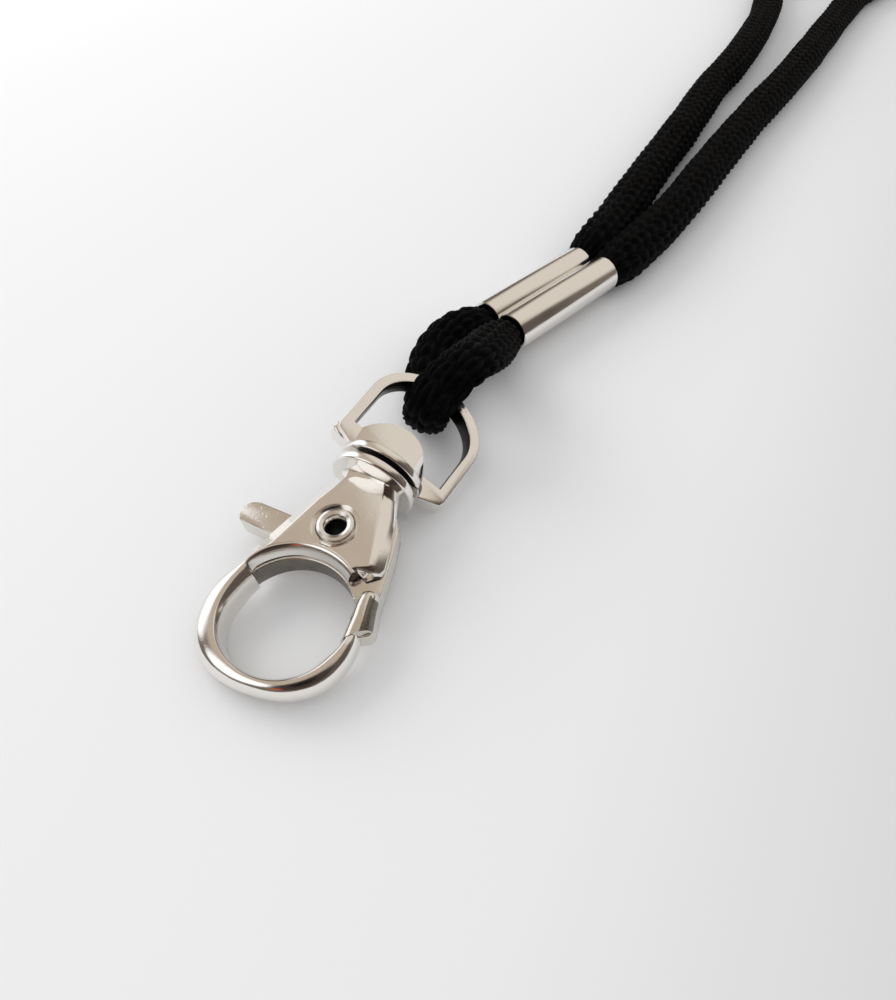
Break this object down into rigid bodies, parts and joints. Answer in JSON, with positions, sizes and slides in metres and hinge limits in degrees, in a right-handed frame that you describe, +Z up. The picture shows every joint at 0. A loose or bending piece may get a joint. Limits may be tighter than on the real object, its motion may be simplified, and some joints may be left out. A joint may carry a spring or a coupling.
{
  "type": "lanyard",
  "caption": "Neck lanyard: black knitted cord folded round a swivel D-ring and crimped in two metal ferrules, ending in a small trigger snap hook with a sprung latch.",
  "frame": {"origin": "on the surface that it lies on, under the middle of the snap hook and D-ring", "axes": "+Y from the hook's bow along the swivel axis towards the neck cord, +Z up out of the surface, +X to the right, away from the thumb lever"},
  "size_m": [0.0469, 0.3587, 0.0124],
  "materials": {
    "casting_nickel": "satin nickel plate on a die casting, fine pits",
    "latch_nickel": "satin nickel plate, coarser grain",
    "rivet_steel": "bright nickel-plated steel",
    "spring_steel": "bare spring wire",
    "ferrule_nickel": "polished nickel plate",
    "cord_black": "circular-knitted polyester cord",
    "tie_black": "woven hook-and-loop strip"
  },
  "bodies": {
    "cord": {"ring_loop": "cord_black", "ferrule_left": "ferrule_nickel", "ferrule_right": "ferrule_nickel", "crimped_cord_left": "cord_black", "crimped_cord_right": "cord_black", "cord_left": "cord_black", "cord_right": "cord_black", "cord_hank": "cord_black", "hank_tie": "tie_black"},
    "swivel_ring": {"d_ring": "casting_nickel"},
    "clasp": {"hook_body": "casting_nickel", "rivet": "rivet_steel", "latch_spring": "spring_steel", "swivel_pin": "rivet_steel"},
    "latch": {"latch": "latch_nickel"}
  },
  "joints": [
    {"name": "ring_swing", "type": "hinge", "parent": "cord", "child": "swivel_ring", "pos_m": [0.00133, 0.01879, 0.00653], "axis": [0.8988, 0.0564, -0.4347], "range_deg": [-70, 70]},
    {"name": "swivel", "type": "hinge", "parent": "swivel_ring", "child": "clasp", "pos_m": [0.00133, 0.00551, 0.0048], "axis": [0, 0.9917, 0.1287], "continuous": true},
    {"name": "latch_pivot", "type": "hinge", "parent": "clasp", "child": "latch", "pos_m": [0.00133, -0.00218, 0.00381], "axis": [0, 0.1287, -0.9917], "range_deg": [0, 22], "stiffness_Nm_per_rad": 0.02, "springref_deg": -20.05, "deforming": ["latch_spring"]}
  ]
}
